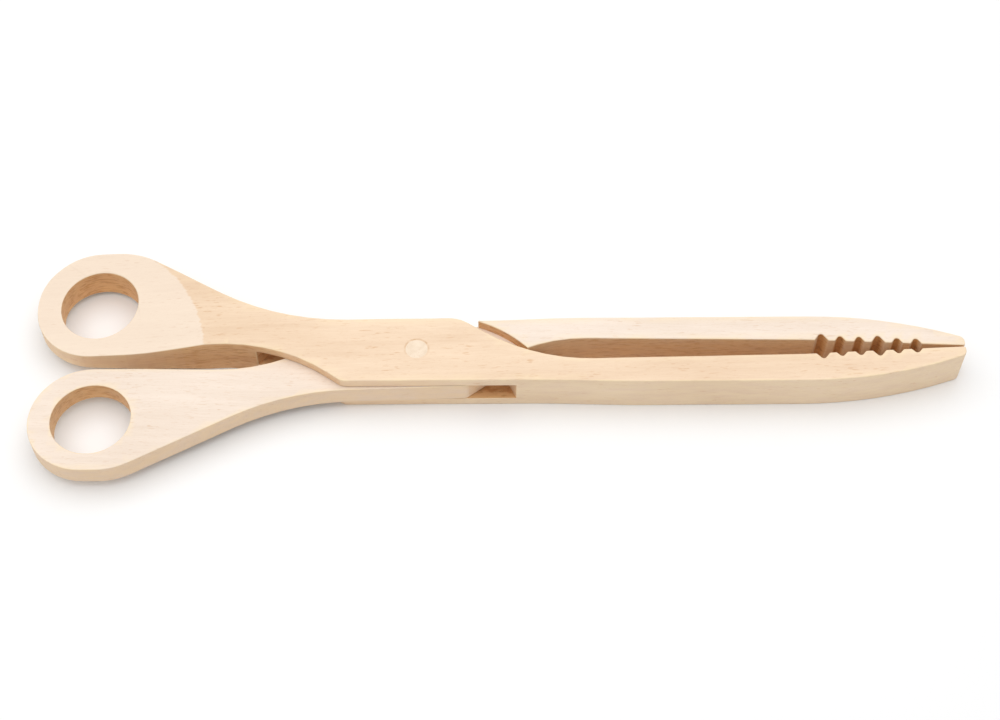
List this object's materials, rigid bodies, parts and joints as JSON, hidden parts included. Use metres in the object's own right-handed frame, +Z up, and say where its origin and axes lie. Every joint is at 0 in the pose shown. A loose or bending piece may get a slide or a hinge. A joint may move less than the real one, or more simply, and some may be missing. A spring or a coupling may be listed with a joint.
{
  "type": "wooden scissor tongs",
  "caption": "Scissor-action wooden kitchen tongs with finger rings, a bridle joint on a dowel pivot and slim notched jaws.",
  "frame": {"origin": "on the pivot axis, at the underside that rests on the table", "axes": "+X along the closed jaws towards the tips, +Y towards the slotted arm's finger ring, +Z up through the board's thickness"},
  "size_m": [0.2985, 0.0815, 0.014],
  "materials": {
    "beech_slotted": "sanded, unfinished",
    "beech_tongue": "sanded, unfinished",
    "beech_dowel": "sanded end grain"
  },
  "bodies": {
    "slotted": {"slotted_arm": "beech_slotted", "pivot_dowel": "beech_dowel"},
    "tongue": {"tongue_arm": "beech_tongue"}
  },
  "joints": [
    {"name": "pivot", "type": "hinge", "parent": "slotted", "child": "tongue", "pos_m": [0, 0, 0.007], "axis": [0, 0, 1], "range_deg": [0, 40]}
  ]
}
